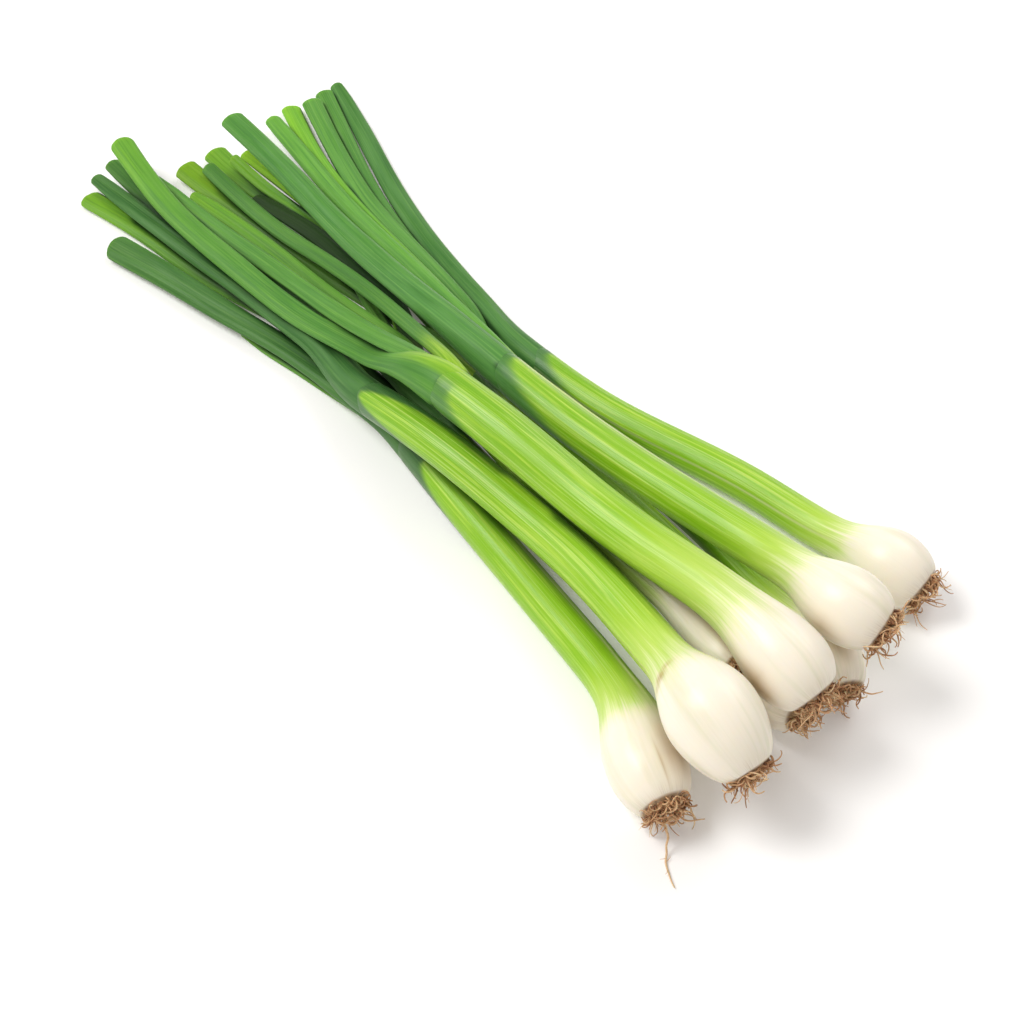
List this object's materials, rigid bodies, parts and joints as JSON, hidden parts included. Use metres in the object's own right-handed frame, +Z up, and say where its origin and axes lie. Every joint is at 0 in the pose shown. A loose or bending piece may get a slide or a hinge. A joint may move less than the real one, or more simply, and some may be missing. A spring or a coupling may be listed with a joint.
{
  "type": "spring onion bunch",
  "caption": "Loose bunch of spring onions lying flat: round white bulbs with trimmed root tufts, long green stems and cut tubular leaves fanning out.",
  "frame": {"origin": "on the surface it lies on, under the middle of the bunch's bounding box", "axes": "+X along the bunch towards the bulbs, leaves towards -X; +Z up; +Y towards the side of the last bulb on the surface, away from the onion with the long root"},
  "size_m": [0.408, 0.161, 0.0544],
  "materials": {
    "bulb_and_stem": "waxy satin skin, cream white at the bulb through yellow green to mid green at the leaves, with fine long veins",
    "leaf_dark": "dark green tubular leaf with a blue green wax bloom and fine long veins",
    "leaf_light": "light yellow green tubular leaf, satin",
    "dried_root": "dry brown fibres, matte"
  },
  "bodies": {
    "root": {"onion_a": "bulb_and_stem", "roots_a": "dried_root", "leaf_a1": "leaf_dark", "leaf_a2": "leaf_dark", "onion_b": "bulb_and_stem", "roots_b": "dried_root", "leaf_b1": "leaf_dark", "leaf_b2": "leaf_light", "onion_c": "bulb_and_stem", "roots_c": "dried_root", "leaf_c1": "leaf_light", "leaf_c2": "leaf_dark", "leaf_c3": "leaf_light", "leaf_c4": "leaf_light", "onion_d": "bulb_and_stem", "roots_d": "dried_root", "leaf_d1": "leaf_dark", "leaf_d2": "leaf_dark", "leaf_d3": "leaf_light", "onion_e": "bulb_and_stem", "roots_e": "dried_root", "leaf_e1": "leaf_dark", "onion_f": "bulb_and_stem", "roots_f": "dried_root", "leaf_f1": "leaf_dark", "leaf_f2": "leaf_dark", "onion_g": "bulb_and_stem", "roots_g": "dried_root", "leaf_g1": "leaf_light", "leaf_g2": "leaf_light", "onion_h": "bulb_and_stem", "roots_h": "dried_root", "leaf_h1": "leaf_dark", "leaf_h2": "leaf_light", "leaf_h3": "leaf_dark", "onion_i": "bulb_and_stem", "roots_i": "dried_root", "leaf_i1": "leaf_dark", "leaf_i2": "leaf_dark", "long_root_a": "dried_root"}
  },
  "joints": []
}
